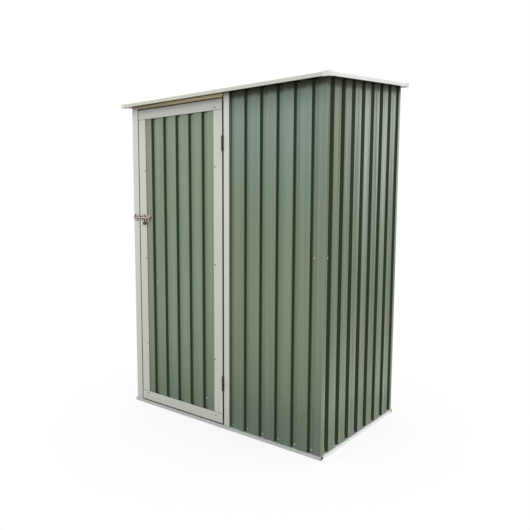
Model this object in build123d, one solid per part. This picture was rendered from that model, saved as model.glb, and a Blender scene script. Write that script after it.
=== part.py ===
"""Metal tool shed: ribbed sheet walls on a base frame, a lean-to roof and one hinged door.

Millimetres, +Z up. The door is on the front, which faces -Y. The origin is on the ground
under the middle of the roof's plan.
"""
import math
import os

from build123d import *

# Walls, between the outer faces of the ribbed sheets
wall_width = 1340.0
wall_depth = 790.0

# Roof: one plane that rises from the front edge to the back edge
front_eave_height = 1780.0
roof_rise = 96.0
front_overhang = 50.0
back_overhang = 22.0
side_overhang = 38.0

# Ribbed sheet: wide raised flats with narrow grooves between them
sheet = 1.0
rib_pitch = 100.0
rib_depth = 13.0
groove_floor = 25.0
web_run = 7.5
end_flat = 30.0
front_end_flat = 39.0
smallest_flat = 18.0
lap = 22.0
joggle_run = 2.0

# Folded frame members
metal = 1.2
fold_bend = 2.0
lip = 14.0

# Base frame: a low rail with a ledge that the sheets stand on and a flange behind them
base_height = 18.0
base_ledge = 6.0
base_flange = 27.0

# Doorway, from the left wall's outer face to the right
latch_post_width = 50.0
latch_gap = 6.0
door_width = 658.0
hinge_gap = 10.0
hinge_post_width = 38.0
panel_lap = 28.0
header_drop = 8.0
head_gap = 8.0
sill_gap = 6.0

# Inner frame
corner_leg = 16.0
top_rail_leg = 16.0
top_rail_shelf = 25.0
mid_rail_height = 972.0
mid_rail_face = 30.0
mid_rail_depth = 10.0
beam_width = 30.0
beam_depth = 25.0

# Roof edge
trim_height = 18.0
trim_lip = 18.0
trim_clear = 1.0
cap_wall = 2.0
cap_leg = 30.0
cap_round = 5.0

# Door leaf
stile_width = 60.0
door_rail_width = 56.0
door_depth = 18.0
door_lip = 15.0
panel_tuck = 32.0
brace_height = 756.0
brace_face = 30.0
brace_depth = 9.0

# Hinges
hinge_height = 80.0
upper_hinge_height = 1534.0
lower_hinge_height = 251.0
pin_forward = 5.0
pin_radius = 2.0
knuckle_count = 3
leaf_depth = 14.0
leaf_clear = 0.5
running_clear = 0.3

# Latch: a round bolt in two straps on the door and a keeper on the latch post
latch_height = 1139.0
latch_plate_height = 38.0
latch_plate_metal = 1.5
latch_plate_inset = 4.0
latch_plate_length = 90.0
latch_plate_round = 4.0
bolt_radius = 4.5
bolt_lift = 8.0
bolt_length = 117.0
bolt_tip_reach = 7.0
bolt_bevel = 1.5
strap_metal = 1.8
strap_length = 10.0
strap_inset = 2.0
strap_spread = 60.0
keeper_inset = 6.0
keeper_length = 38.0
keeper_strap_length = 16.0
keeper_strap_inset = 8.0
keeper_clear = 1.5
handle_radius = 3.5
handle_drop = 42.0
handle_back = 69.0
handle_tab_width = 30.0
handle_tab_height = 18.0
handle_tab_metal = 6.0

# Reach of a cut past the piece that it cuts
overrun = 400.0

# Places that follow from the sizes above
left_face = -wall_width / 2
right_face = wall_width / 2
roof_run = front_overhang + wall_depth + back_overhang
roof_slope = math.atan2(roof_rise, roof_run)
slope_degrees = math.degrees(roof_slope)
roof_length = math.hypot(roof_run, roof_rise)
roof_width = wall_width + 2 * side_overhang
roof_front = (trim_height * math.sin(roof_slope) - roof_run) / 2
front_face = roof_front + front_overhang
back_face = front_face + wall_depth
groove_width = groove_floor + 2 * web_run
wall_skin = rib_depth + sheet
wall_top_reach = front_eave_height + roof_rise + trim_height
frame_face = front_face - metal

latch_jamb = left_face + latch_post_width
door_left = latch_jamb + latch_gap
door_right = door_left + door_width
hinge_jamb = door_right + hinge_gap
hinge_post_edge = hinge_jamb + hinge_post_width
header_bottom = front_eave_height - header_drop
door_top = header_bottom - head_gap
door_bottom = base_height + sill_gap
pin_x = door_right + hinge_gap / 2
pin_y = frame_face - pin_forward
knuckle_radius = hinge_gap / 2

# Frames that pieces are drawn in: along each wall with y inwards, and on the roof's plane
front_place = Location((left_face, front_face, 0))
right_place = Location((right_face, front_face, 0), (0, 0, 90))
back_place = Location((right_face, back_face, 0), (0, 0, 180))
roof_place = Location((0, roof_front, front_eave_height), (slope_degrees, 0, 0))


def block(low, high):
    """Box between two corners."""
    size = [b - a for a, b in zip(low, high)]
    return Pos(*low) * Box(*size, align=(Align.MIN, Align.MIN, Align.MIN))


def folded(points, thickness, bend=0.0):
    """Section of a folded sheet: its line, sharp or with round bends, thickened to its left."""
    line = FilletPolyline(*points, radius=bend) if bend else Polyline(*points)
    outline = offset(line, amount=thickness, side=Side.LEFT, kind=Kind.INTERSECTION)
    return make_face(outline.edges())


def along_x(section, length):
    """Prism of a section drawn in (y, z), from x = 0 along +X."""
    return extrude(Plane.YZ * section, amount=length)


def upright(section, low, high):
    """Prism of a section drawn in (x, y), between two heights."""
    return Pos(0, 0, low) * extrude(section, amount=high - low)


def under_roof(piece):
    """Cut off what stands above the underside of the roof sheets."""
    above = block((-roof_width, -overrun, metal), (roof_width, roof_length + overrun, overrun))
    return piece - roof_place * above


def mirrored(piece):
    """The same piece on the other side of the shed's middle plane."""
    return mirror(piece, about=Plane.YZ)


def ribbed_line(length, first=end_flat, start=0.0, lapped=False):
    """Line of a ribbed sheet's outer skin: raised flats at y = 0, grooves inwards."""
    points = [(start, 0)]
    groove = first
    while groove + groove_width + smallest_flat <= length:
        points.append((groove, 0))
        points.append((groove + web_run, rib_depth))
        points.append((groove + groove_width - web_run, rib_depth))
        points.append((groove + groove_width, 0))
        groove += rib_pitch
    points.append((length, 0))
    if lapped:
        points.append((length + joggle_run, -sheet))
        points.append((length + lap, -sheet))
    return points


def ribbed_sheet(length, low, high, **layout):
    """Ribbed sheet that stands upright, with its outer face towards -Y."""
    return upright(folded(ribbed_line(length, **layout), sheet), low, high)


def seam_place(width):
    """Middle of the raised flat that is nearest to the middle of a width."""
    return rib_pitch * round(width / 2 / rib_pitch)


def base_rail(length):
    """Base rail in a wall's frame: foot, outer web, ledge and the flange behind the sheets.

    Its folds are sharp, so that the sheets stand on the ledge right up to the flange.
    """
    line = [
        (wall_skin, base_height + base_flange),
        (wall_skin, base_height),
        (-base_ledge, base_height),
        (-base_ledge, 0),
        (wall_skin, 0),
    ]
    return along_x(folded(line, metal), length)


def base_rails():
    """Front and back rails run the full width, and the side rails stand between them."""
    full_width = wall_width + 2 * base_ledge
    end = wall_skin + metal
    rail = Pos(-base_ledge, 0, 0) * base_rail(full_width)
    flange_top = base_height + base_flange + metal
    left_notch = block((-end, 0, base_height), (wall_skin, 2 * end, flange_top))
    right_notch = Pos(wall_width - wall_skin + end, 0, 0) * left_notch
    doorway = block((-end, 0, base_height), (hinge_jamb - left_face, 2 * end, flange_top))
    right = right_place * Pos(end, 0, 0) * base_rail(wall_depth - 2 * end)
    return {
        "base_rail_front": front_place * (rail - doorway - right_notch),
        "base_rail_back": back_place * (rail - left_notch - right_notch),
        "base_rail_right": right,
        "base_rail_left": mirrored(right),
    }


def wall_sheets():
    """Ribbed sheets of the four walls, trimmed to the roof's plane."""
    panel_length = right_face - hinge_post_edge + panel_lap
    panel = mirrored(ribbed_sheet(panel_length, base_height, wall_top_reach, first=front_end_flat))
    front = Location((right_face, front_face, 0)) * panel
    side = right_place * Pos(sheet, 0, 0) * ribbed_sheet(
        wall_depth - 2 * sheet, base_height, wall_top_reach
    )
    seam = seam_place(wall_width)
    back_right = back_place * ribbed_sheet(seam, base_height, wall_top_reach, lapped=True)
    back_left = back_place * Pos(seam, 0, 0) * ribbed_sheet(
        wall_width - seam, base_height, wall_top_reach, start=joggle_run + sheet
    )
    right = under_roof(side)
    return {
        "front_wall": under_roof(front),
        "right_wall": right,
        "left_wall": mirrored(right),
        "back_wall_right": under_roof(back_right),
        "back_wall_left": under_roof(back_left),
    }


def door_posts():
    """Folded posts each side of the doorway, and the header between them."""
    depth = wall_skin + metal
    latch_line = [
        (sheet, depth),
        (sheet, 0),
        (latch_post_width, 0),
        (latch_post_width, depth),
        (latch_post_width - lip, depth),
    ]
    hinge_line = [
        (lip, depth),
        (0, depth),
        (0, 0),
        (hinge_post_width, 0),
    ]
    header_line = [
        (0, wall_top_reach),
        (0, header_bottom),
        (depth, header_bottom),
    ]
    latch_post = upright(folded(latch_line, metal, fold_bend), base_height, wall_top_reach)
    hinge_post = upright(folded(hinge_line, metal, fold_bend), base_height, wall_top_reach)
    header = along_x(folded(header_line, metal, fold_bend), hinge_jamb - latch_jamb)
    return {
        "door_post_latch": under_roof(Pos(left_face, frame_face, 0) * latch_post),
        "door_post_hinge": under_roof(Pos(hinge_jamb, frame_face, 0) * hinge_post),
        "door_header": under_roof(Pos(latch_jamb, frame_face, 0) * header),
    }


def corner_angles():
    """Angles inside the three corners where two ribbed sheets meet."""
    line = [(0, corner_leg), (0, 0), (corner_leg, 0)]
    angle = upright(folded(line, metal, fold_bend), base_height, wall_top_reach)
    back_left = under_roof(Location((left_face + sheet, back_face - sheet, 0), (0, 0, -90)) * angle)
    front_right = Location((right_face - sheet, front_face + sheet, 0), (0, 0, 90)) * angle
    return {
        "corner_angle_back_left": back_left,
        "corner_angle_back_right": mirrored(back_left),
        "corner_angle_front_right": under_roof(front_right),
    }


def top_rail_across(wall_y, inward):
    """Angle along the top of the front or back wall: an upright leg and a shelf under the roof."""
    half = wall_width / 2 - wall_skin
    near = wall_y + inward * wall_skin
    far = near + inward * metal
    plan = ((near + far) / 2 - roof_front) / math.cos(roof_slope)
    reach = plan + inward * top_rail_shelf
    roof_here = front_eave_height + (near - roof_front) * math.tan(roof_slope)
    foot = roof_here - top_rail_leg
    leg = block((-half, min(near, far), foot), (half, max(near, far), wall_top_reach))
    shelf = block((-half, min(plan, reach), 0), (half, max(plan, reach), metal))
    return under_roof(leg) + roof_place * shelf


def top_frame():
    """Angles that carry the roof along the tops of the walls, and one beam across."""
    inner = wall_width / 2 - wall_skin
    start = (front_overhang + wall_skin + top_rail_shelf + metal) / math.cos(roof_slope)
    end = roof_length - (back_overhang + wall_skin + top_rail_shelf + metal) / math.cos(roof_slope)
    leg = block((inner - metal, start, metal - top_rail_leg), (inner, end, metal))
    shelf = block((inner - top_rail_shelf, start, 0), (inner, end, metal))
    right = roof_place * (leg + shelf)
    beam_line = [
        (beam_width / 2, -beam_depth),
        (beam_width / 2, 0),
        (-beam_width / 2, 0),
        (-beam_width / 2, -beam_depth),
    ]
    span = inner - top_rail_shelf
    section = folded(beam_line, metal, fold_bend)
    beam = Pos(-span, roof_length / 2, metal) * along_x(section, 2 * span)
    return {
        "top_rail_front": top_rail_across(front_face, 1),
        "top_rail_back": top_rail_across(back_face, -1),
        "top_rail_right": right,
        "top_rail_left": mirrored(right),
        "roof_beam": roof_place * beam,
    }


def channel_line(depth, face):
    """Line of a channel that is open towards -Y, drawn in (y, z)."""
    return [(0, 0), (depth, 0), (depth, face), (0, face)]


def mid_rail(length):
    """Channel along the inside of a wall at mid height, open towards the sheets."""
    section = folded(channel_line(mid_rail_depth, mid_rail_face), metal, fold_bend)
    return Pos(0, wall_skin, mid_rail_height - mid_rail_face / 2) * along_x(section, length)


def mid_rails():
    """Mid rails on all four walls, the side ones between the others."""
    across = wall_skin + mid_rail_depth
    front_start = hinge_jamb + metal + lip - left_face
    front = Pos(front_start, 0, 0) * mid_rail(wall_width - wall_skin - front_start)
    right = right_place * Pos(across, 0, 0) * mid_rail(wall_depth - 2 * across)
    return {
        "mid_rail_front": front_place * front,
        "mid_rail_back": back_place * Pos(wall_skin, 0, 0) * mid_rail(wall_width - 2 * wall_skin),
        "mid_rail_right": right,
        "mid_rail_left": mirrored(right),
    }


def roof_sheets():
    """Two ribbed sheets with a lapped seam, ribs running up the slope, inside the edge trims."""
    edge = metal + trim_clear
    clear_width = roof_width - 2 * edge
    clear_length = roof_length - 2 * edge
    seam = seam_place(clear_width)
    flat = Location((-clear_width / 2, edge, metal + wall_skin), (-90, 0, 0))
    left = flat * ribbed_sheet(seam, 0, clear_length, lapped=True)
    right = flat * Pos(seam, 0, 0) * ribbed_sheet(
        clear_width - seam, 0, clear_length, start=joggle_run + sheet
    )
    return {
        "roof_sheet_left": roof_place * left,
        "roof_sheet_right": roof_place * right,
    }


def roof_trims():
    """Channels round the roof's edge: front and back full width, sides between their lips."""
    line = [
        (trim_lip, trim_height),
        (0, trim_height),
        (0, 0),
        (trim_lip, 0),
    ]
    section = folded(line, metal, fold_bend)
    front = Pos(-roof_width / 2, 0, 0) * along_x(section, roof_width)
    back = Location((roof_width / 2, roof_length, 0), (0, 0, 180)) * along_x(section, roof_width)
    side = along_x(section, roof_length - 2 * trim_lip)
    right = roof_place * Location((roof_width / 2, trim_lip, 0), (0, 0, 90)) * side
    return {
        "roof_trim_front": roof_place * front,
        "roof_trim_back": roof_place * back,
        "roof_trim_right": right,
        "roof_trim_left": mirrored(right),
    }


def roof_cap():
    """Moulded cap round the front right corner of the trims, with its outer edge rounded."""
    outer = block((-cap_leg, -cap_wall, -cap_wall), (cap_wall, cap_leg, trim_height + cap_wall))
    corner = outer.edges().filter_by(Axis.Z).group_by(Axis.X)[-1].sort_by(Axis.Y)[0]
    outer = fillet(corner, radius=cap_round)
    hollow = block((-cap_leg - cap_wall, 0, 0), (0, cap_leg + cap_wall, trim_height))
    return outer - hollow


def roof_caps():
    """The four corner caps."""
    front_right = Pos(roof_width / 2, 0, 0) * roof_cap()
    back_right = Location((roof_width / 2, roof_length, 0)) * mirror(roof_cap(), about=Plane.XZ)
    front = roof_place * front_right
    back = roof_place * back_right
    return {
        "roof_cap_front_right": front,
        "roof_cap_front_left": mirrored(front),
        "roof_cap_back_right": back,
        "roof_cap_back_left": mirrored(back),
    }


def door_frame():
    """Door frame of folded channels: rails the full width, stiles between them."""
    stile_line = [
        (door_lip, door_depth),
        (0, door_depth),
        (0, 0),
        (stile_width, 0),
    ]
    rail_line = [
        (0, door_rail_width),
        (0, 0),
        (door_depth, 0),
        (door_depth, door_lip),
    ]
    stile_section = folded(stile_line, metal, fold_bend)
    stile = upright(stile_section, door_bottom + door_rail_width, door_top - door_rail_width)
    rail = along_x(folded(rail_line, metal, fold_bend), door_width)
    return {
        "door_stile_latch": Pos(door_left, frame_face, 0) * stile,
        "door_stile_hinge": Pos(door_right, frame_face, 0) * mirrored(stile),
        "door_rail_bottom": Pos(door_left, frame_face, door_bottom) * rail,
        "door_rail_top": Pos(door_left, frame_face, door_top) * mirror(rail, about=Plane.XY),
    }


def door_infill():
    """Ribbed panel tucked behind the door frame's faces, and the brace behind it."""
    seen_width = door_width - 2 * stile_width
    length = seen_width + 2 * panel_tuck
    gaps = int((seen_width - groove_width - 2 * smallest_flat) / rib_pitch)
    first = (length - gaps * rib_pitch - groove_width) / 2
    low = door_bottom + door_rail_width - panel_tuck
    high = door_top - door_rail_width + panel_tuck
    panel = ribbed_sheet(length, low, high, first=first)
    brace_section = folded(channel_line(brace_depth, brace_face), metal, fold_bend)
    brace = along_x(brace_section, door_width - 2 * door_lip)
    brace_low = brace_height - brace_face / 2
    return {
        "door_panel": Pos(door_left + stile_width - panel_tuck, front_face, 0) * panel,
        "door_brace": Pos(door_left + door_lip, front_face + wall_skin, brace_low) * brace,
    }


def bar(radius, length):
    """Round bar that stands on z = 0."""
    return Cylinder(radius, length, align=(Align.CENTER, Align.CENTER, Align.MIN))


def hinge_leaf(indices, bore):
    """Leaf that stands to the right of the pin, with tabs to its own bored knuckles."""
    inner = knuckle_radius - metal
    near = knuckle_radius + leaf_clear
    leaf = block((inner, near, 0), (knuckle_radius, near + leaf_depth, hinge_height))
    step = hinge_height / knuckle_count
    tall = step - running_clear
    tab = block((inner, 0, 0), (knuckle_radius, near, tall))
    knuckle = bar(knuckle_radius, tall) + tab - bar(bore, tall)
    for index in indices:
        leaf = leaf + Pos(0, 0, index * step + running_clear / 2) * knuckle
    return leaf


def hinges():
    """Two butt hinges in the gap beside the door: the post's leaves hold the pins."""
    outer = [index for index in range(knuckle_count) if index % 2 == 0]
    middle = [index for index in range(knuckle_count) if index % 2 == 1]
    post_leaf = hinge_leaf(outer, pin_radius) + bar(pin_radius, hinge_height)
    door_leaf = mirrored(hinge_leaf(middle, pin_radius + running_clear))
    places = []
    for height in (lower_hinge_height, upper_hinge_height):
        places.append(Location((pin_x, pin_y, height - hinge_height / 2)))
    return {
        "hinge_post_leaves": Compound(children=[place * post_leaf for place in places]),
        "hinge_door_leaves": Compound(children=[place * door_leaf for place in places]),
    }


def strap(length, clear):
    """Strap over the bolt's axis, from x = 0: two legs on the plate and a round crown."""
    inner = bolt_radius + clear
    outer = inner + strap_metal
    crown = Circle(outer) + Pos(bolt_lift / 2, 0) * Rectangle(bolt_lift, 2 * outer)
    hollow = Circle(inner) + Pos(bolt_lift / 2, 0) * Rectangle(bolt_lift, 2 * inner)
    return along_x(crown - hollow, length)


def strapped_plate(length, straps):
    """Rounded plate that lies behind the bolt's axis, with straps at the given places."""
    outline = Plane.XZ * RectangleRounded(length, latch_plate_height, latch_plate_round)
    plate = Pos(length / 2, bolt_lift + latch_plate_metal, 0) * extrude(outline, amount=latch_plate_metal)
    for place, piece in straps:
        plate = plate + Pos(place, 0, 0) * piece
    return plate


def handle():
    """Stem that hangs from the bolt's axis, and the oval thumb tab on its end."""
    fall = handle_drop - handle_tab_height / 2
    oval = Plane.XZ * SlotOverall(handle_tab_width, handle_tab_height)
    tab = extrude(oval, amount=handle_tab_metal / 2, both=True)
    rims = tab.faces().filter_by(Axis.Y).edges()
    tab = chamfer(rims, length=bolt_bevel)
    return Pos(0, 0, -fall) * (bar(handle_radius, fall) + tab)


def latch():
    """Bolt in its straps on the latch stile, drawn back clear of the keeper on the post."""
    axis_y = frame_face - latch_plate_metal - bolt_lift
    keeper_x = left_face + keeper_inset
    tip_x = keeper_x + keeper_strap_inset + keeper_strap_length + bolt_tip_reach
    keeper = strapped_plate(
        keeper_length, [(keeper_strap_inset, strap(keeper_strap_length, keeper_clear))]
    )
    guide = strap(strap_length, running_clear)
    plate = strapped_plate(
        latch_plate_length, [(strap_inset, guide), (strap_inset + strap_spread, guide)]
    )
    ends = bar(bolt_radius, bolt_length).edges().filter_by(GeomType.CIRCLE)
    rod = Rot(0, 90, 0) * chamfer(ends, length=bolt_bevel)
    bolt = rod + Pos(handle_back, 0, 0) * handle()
    return {
        "latch_keeper": Pos(keeper_x, axis_y, latch_height) * keeper,
        "latch_plate": Pos(door_left + latch_plate_inset, axis_y, latch_height) * plate,
        "latch_bolt": Pos(tip_x, axis_y, latch_height) * bolt,
    }


def build():
    """Every node of the shed by name."""
    nodes = {}
    nodes.update(base_rails())
    nodes.update(wall_sheets())
    nodes.update(door_posts())
    nodes.update(corner_angles())
    nodes.update(top_frame())
    nodes.update(mid_rails())
    nodes.update(roof_sheets())
    nodes.update(roof_trims())
    nodes.update(roof_caps())
    nodes.update(door_frame())
    nodes.update(door_infill())
    nodes.update(hinges())
    nodes.update(latch())
    return nodes


os.makedirs("parts", exist_ok=True)
for name, solid in build().items():
    export_step(solid, "parts/" + name + ".step")
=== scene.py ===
"""Looks of a metal garden tool shed: paint, bare metal, fixings and a plain studio.

Metres, in the frame's own axes: +Z up, with the door on the front, which faces -Y.
"""
import math
from typing import NamedTuple

import bpy
from bpy.props import FloatProperty, FloatVectorProperty, IntProperty, PointerProperty
from mathutils import Color, Matrix, Vector


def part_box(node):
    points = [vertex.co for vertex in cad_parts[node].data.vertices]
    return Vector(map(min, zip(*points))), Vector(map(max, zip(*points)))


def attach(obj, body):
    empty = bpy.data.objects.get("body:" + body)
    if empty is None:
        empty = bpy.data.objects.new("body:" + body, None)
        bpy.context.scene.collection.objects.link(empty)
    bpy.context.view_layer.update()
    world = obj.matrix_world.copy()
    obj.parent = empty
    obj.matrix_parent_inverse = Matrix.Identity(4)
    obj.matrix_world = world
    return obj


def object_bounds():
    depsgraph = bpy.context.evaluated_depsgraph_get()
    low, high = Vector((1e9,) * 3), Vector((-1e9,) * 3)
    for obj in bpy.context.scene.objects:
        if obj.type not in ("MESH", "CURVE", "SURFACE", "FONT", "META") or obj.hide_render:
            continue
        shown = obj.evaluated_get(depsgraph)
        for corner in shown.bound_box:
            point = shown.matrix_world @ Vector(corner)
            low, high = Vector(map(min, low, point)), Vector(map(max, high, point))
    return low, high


bl_info = {
    "name": "Metal Tool Shed",
    "version": (1, 0, 0),
    "blender": (4, 5, 0),
    "location": "3D View > Sidebar > Tool Shed",
    "description": "Finishes, fixings and studio for a ribbed metal tool shed",
    "category": "Object",
}

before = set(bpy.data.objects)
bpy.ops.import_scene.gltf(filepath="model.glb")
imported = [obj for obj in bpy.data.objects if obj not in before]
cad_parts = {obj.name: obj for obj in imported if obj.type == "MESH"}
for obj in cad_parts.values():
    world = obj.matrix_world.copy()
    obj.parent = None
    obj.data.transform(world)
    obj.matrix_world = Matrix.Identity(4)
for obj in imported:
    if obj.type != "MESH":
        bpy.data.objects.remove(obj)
cad_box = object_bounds()

FRONT = Vector((0.0, -1.0, 0.0))
BACK = Vector((0.0, 1.0, 0.0))
RIGHT = Vector((1.0, 0.0, 0.0))
LEFT = Vector((-1.0, 0.0, 0.0))
UP = Vector((0.0, 0.0, 1.0))
WHITE = (1.0, 1.0, 1.0, 1.0)

# Nodes that share a finish
DOOR_FRAME_NODES = ("door_stile_latch", "door_stile_hinge", "door_rail_bottom", "door_rail_top")
POST_NODES = ("door_post_latch", "door_post_hinge")
LONG_TRIM_NODES = ("roof_trim_front", "roof_trim_back")
SIDE_TRIM_NODES = ("roof_trim_left", "roof_trim_right")
CAP_NODES = ("roof_cap_front_left", "roof_cap_front_right", "roof_cap_back_left", "roof_cap_back_right")
# Base rails that take a lighter zinc as painted light
LIT_BASE_NODES = ("base_rail_back", "base_rail_left", "base_rail_right")
INNER_NODES = (
    "corner_angle_back_left", "corner_angle_back_right", "corner_angle_front_right",
    "top_rail_front", "top_rail_back", "top_rail_left", "top_rail_right", "roof_beam",
    "mid_rail_front", "mid_rail_back", "mid_rail_left", "mid_rail_right", "door_brace",
)
HINGE_NODES = ("hinge_post_leaves", "hinge_door_leaves")
LATCH_NODES = ("latch_keeper", "latch_plate")

# Shares of a rib's depth, from the sheet's face, that tell its face and its grooves' floors apart
FACE_DEPTH_SHARE = 0.1
FLOOR_DEPTH_SHARE = 0.9
# Two floors lie further apart than this many ribs are deep
FLOOR_GAP_RIBS = 2

# Where the dark of a web sets in and ends, as shares of the half widths of a groove's floor and mouth
WEB_START_SHARE = 0.9
WEB_END_SHARE = 0.94
# Where the painted shade on a groove's floor starts and is full, as shares of the floor's half width
FRONT_FLOOR_SHARES = (0.3, 1.2)
SIDE_FLOOR_SHARES = (-0.7, 0.1)

# Painted shade under the eaves: the strength of each layer, and where it starts and ends to fade, in reaches
EAVE_SHADE_LAYERS = ((0.62, 0.4, 1.1), (0.28, 0.5, 3.5))
EAVE_SHADE_STREAK_SHARE = 0.8
# How much of its reach a darkened or lit edge, or a seam, is at full strength
EDGE_FULL_SHARE = 0.3
SEAM_FULL_SHARE = 0.4

# Waves to the metre along each axis of the patterns in the finishes
CLOUD_WAVES = (2.6, 2.6, 1.3)
WARM_WAVES = (19.0, 19.0, 1.1)
COOL_WAVES = (27.0, 27.0, 1.6)
STREAK_WAVES = (85.0, 85.0, 0.7)
BAND_WAVES = (55.0, 55.0, 0.5)
DENT_WAVES = (7.0, 7.0, 2.2)
GRAIN_WAVES = (900.0, 900.0, 900.0)
MOTTLE_WAVES = (9.0, 9.0, 4.0)
DUST_WAVES = (260.0, 260.0, 260.0)
PEEL_WAVES = (1100.0, 1100.0, 1100.0)
CAP_GRAIN_WAVES = (1500.0, 1500.0, 1500.0)
CAP_SHADE_WAVES = (30.0, 30.0, 30.0)
CRYSTAL_WAVES = 110.0
BLOOM_WAVES = (14.0, 14.0, 14.0)
TARNISH_WAVES = (85.0, 85.0, 85.0)
SCRATCH_WAVES = (2400.0, 300.0, 300.0)
RUBBER_WAVES = (300.0, 300.0, 300.0)

# Values of a pattern between which its patches set in
TINT_PATCH = (0.5, 0.68)
SHEEN_PATCH = (0.3, 0.6)
DUST_PATCH = (0.66, 0.76)
BLOOM_PATCH = (0.45, 0.75)
TARNISH_START = 0.6
TARNISH_FULL = 0.62
TARNISH_SPREAD = 0.2

# Depths of the reliefs
DENT_DEPTH = 0.003
GRAIN_DEPTH = 0.00006
PEEL_DEPTH = 0.00005
CAP_GRAIN_DEPTH = 0.0001
CRYSTAL_DEPTH = 0.00003
SCRATCH_DEPTH = 0.00003
RUBBER_DEPTH = 0.0001

# Heights between which a finish changes, and how far its clouds move them
LOWER_GREEN_RISE = (0.0, 0.8)
UPPER_GREEN_RISE = (0.95, 1.5)
GREEN_DRIFT = 0.5
GREEN_FOOT_RISE = (0.0, 0.16)
GREEN_FOOT_DRIFT = 0.2
SHEEN_RISE = (0.75, 1.6)
GLINT_RISE = (1.3, 1.65)
CREAM_RISE = (0.1, 1.7)
CREAM_FOOT_RISE = (0.02, 0.16)
# Distances from the front between which the painted sheen takes over from the warm tint
SHEEN_DISTANCE = (0.16, 0.3)

# How squarely a surface faces a direction when it starts to count, and when it counts in full
OUTER_FACING = (-0.05, 0.05)
SQUARE_FACING = (0.6, 0.9)
FLANK_FACING = (0.35, 0.85)

# Strengths of the tints, marks and shades
WARM_SHARE = 0.16
WARM_STREAK_SHARE = 0.12
COOL_SHARE = 0.25
GREEN_FOOT_SHARE = 0.5
CORNER_WARM_SHARE = 0.2
RIB_SHADE_SHARE = 0.96
STREAK_SWING = 0.4
GRAIN_SWING = 0.06
CREAM_LEVEL = 0.98
MOTTLE_SWING = 0.09
DUST_SHADE = 0.08
CREAM_FOOT_SHADE = 0.12
CREAM_EAVE_SHADE_SHARE = 0.5
TURNED_SHADE_SHARE = 0.9
PANEL_EDGE_SHADE_SHARE = 0.45
CAP_SHADE_SWING = 0.08
CRYSTAL_SHARE = 0.6
RUBBER_SWING = 0.4
HANDLE_DARKNESS = 0.86

# Places of the door's, the latch's and the hinges' fixings as shares of what carries them
LATCH_STILE_SCREW_SHARES = (0.025, 0.205, 0.503, 0.797)
HINGE_STILE_SCREW_SHARES = (0.021, 0.203, 0.502, 0.8, 0.975)
PLATE_SCREW_SHARES = ((0.2, 0.14), (0.2, 0.86), (0.86, 0.14), (0.86, 0.86))
KEEPER_SCREW_SHARES = ((0.82, 0.16), (0.82, 0.84), (0.1, 0.16), (0.1, 0.84))
LEAF_SCREW_SHARES = (0.17, 0.5, 0.83)

# How far a hinge leaf's screws lie in from its back edge
LEAF_SCREW_INSET = 0.007
# Thickness of the metal of a hinge's leaf and of the latch's plates
LEAF_METAL = 0.0012
PLATE_METAL = 0.0015
# From the latch plate's middle down to the handle's dark part, and the height over which it fades in
HANDLE_DROP = 0.0046
HANDLE_FADE = 0.002

# A screw's head of unit size: a ball, the block that keeps its upper half, and its recess's two bars
HEAD_SEGMENTS = 14
HEAD_RINGS = 8
UPPER_HALF_SIZE = (3.0, 3.0, 1.5)
RECESS_SIZES = ((0.24, 1.05, 0.9), (1.05, 0.24, 0.9))
RECESS_RISE = 0.95
# A washer of unit size
WASHER_SEGMENTS = 16
WASHER_TOP_RADIUS = 0.76

# Glow of the floor near the shed, as a share of its glow far away
FLOOR_GLOW = 0.8
# Width of the camera's film in millimetres
FILM_WIDTH = 36.0
# Rays that see the studio white
SEEN_RAYS = ("Is Camera Ray", "Is Glossy Ray", "Is Transmission Ray")


def corners(node):
    """All corner points of a node's mesh."""
    return [vertex.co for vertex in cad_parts[node].data.vertices]


def middle(node):
    """Middle of a node's box."""
    low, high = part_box(node)
    return (low + high) / 2


def roof_normal():
    """Direction that the roof's plane faces, from the widest flat of one of its sheets."""
    upper = [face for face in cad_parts["roof_sheet_right"].data.polygons if face.normal.z > 0]
    return max(upper, key=lambda face: face.area).normal.copy()


ROOF = roof_normal()
UP_SLOPE = ROOF.cross(LEFT)


class Sheet(NamedTuple):
    """A ribbed sheet: the way that its grooves are counted and shaded, the side it faces, and its look."""

    along: Vector
    outward: Vector
    look: str


SHEETS = {
    "front_wall": Sheet(LEFT, FRONT, "front"),
    "door_panel": Sheet(LEFT, FRONT, "door"),
    "right_wall": Sheet(BACK, RIGHT, "side"),
    "left_wall": Sheet(BACK, LEFT, "side"),
    "back_wall_left": Sheet(RIGHT, BACK, "side"),
    "back_wall_right": Sheet(RIGHT, BACK, "side"),
    "roof_sheet_left": Sheet(RIGHT, ROOF, "roof"),
    "roof_sheet_right": Sheet(RIGHT, ROOF, "roof"),
}
WALL_NODES = ("front_wall", "right_wall", "left_wall", "back_wall_left", "back_wall_right")
ROOF_NODES = ("roof_sheet_left", "roof_sheet_right")
# Sheets with a lap, and the like sheet without one that gives the depth of their grooves
PLAIN_SHEETS = {"back_wall_right": "back_wall_left", "roof_sheet_left": "roof_sheet_right"}


def colour(name, description, red, green, blue):
    """Colour property whose default is an sRGB colour from 0 to 255."""
    default = (red / 255, green / 255, blue / 255)
    return FloatVectorProperty(
        name=name, description=description, subtype="COLOR_GAMMA", size=3, min=0.0, max=1.0, default=default
    )


def length(name, description, default):
    """Length property in metres."""
    return FloatProperty(name=name, description=description, default=default, min=0.0, unit="LENGTH")


def stand(name, description, default):
    """Property for the place where something stands."""
    return FloatVectorProperty(name=name, description=description, default=default, subtype="TRANSLATION")


def power(name, description, watts):
    """Property for a lamp's power."""
    return FloatProperty(name=name, description=description, default=watts, min=0.0, unit="POWER")


def angle(name, description, degrees):
    """Angle property whose default is in degrees."""
    return FloatProperty(name=name, description=description, default=math.radians(degrees), subtype="ANGLE")


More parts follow.
